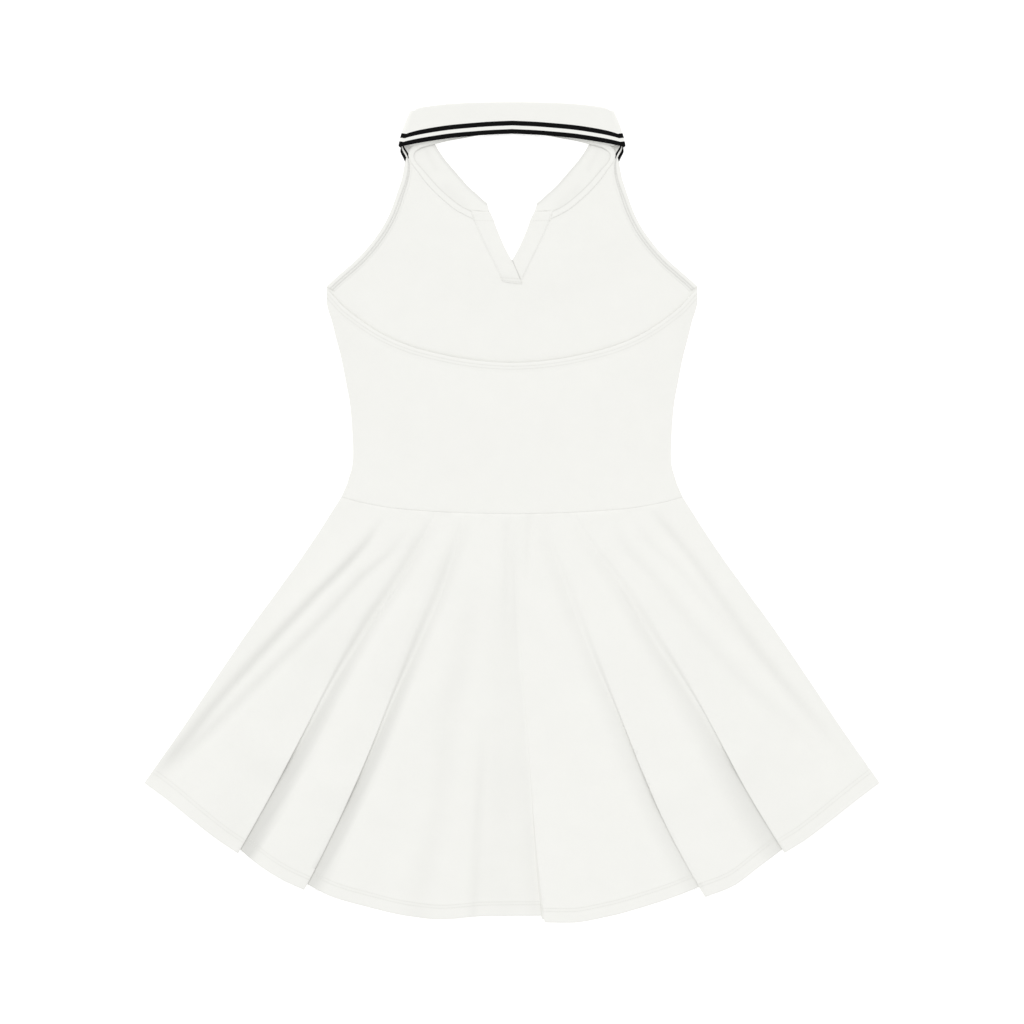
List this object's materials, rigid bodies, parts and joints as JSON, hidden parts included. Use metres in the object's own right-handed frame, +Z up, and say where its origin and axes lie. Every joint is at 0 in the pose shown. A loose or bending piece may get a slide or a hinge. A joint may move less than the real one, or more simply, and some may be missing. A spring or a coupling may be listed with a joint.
{
  "type": "tennis dress laid flat",
  "caption": "Sleeveless knit tennis dress with a folded polo collar, open back, seamed waist and flared skirt with folds, laid flat on its front.",
  "frame": {"origin": "middle of the dress's outline, on the surface that it lies on", "axes": "+Z up from the surface, +Y along the dress from the hem to the collar, +X to the right as seen from above"},
  "size_m": [0.7728, 0.862, 0.0119],
  "materials": {
    "body_knit": "matte fine white knit",
    "collar_rib": "matte white flat rib with two black tipping stripes",
    "seam_tape": "matte white woven tape"
  },
  "bodies": {
    "root": {"front_bodice": "body_knit", "back_bodice": "body_knit", "front_skirt": "body_knit", "back_skirt": "body_knit", "collar": "collar_rib", "neck_seam_tape": "seam_tape", "placket_left": "body_knit", "placket_right": "body_knit", "armhole_band_left": "body_knit", "armhole_band_right": "body_knit"}
  },
  "joints": []
}
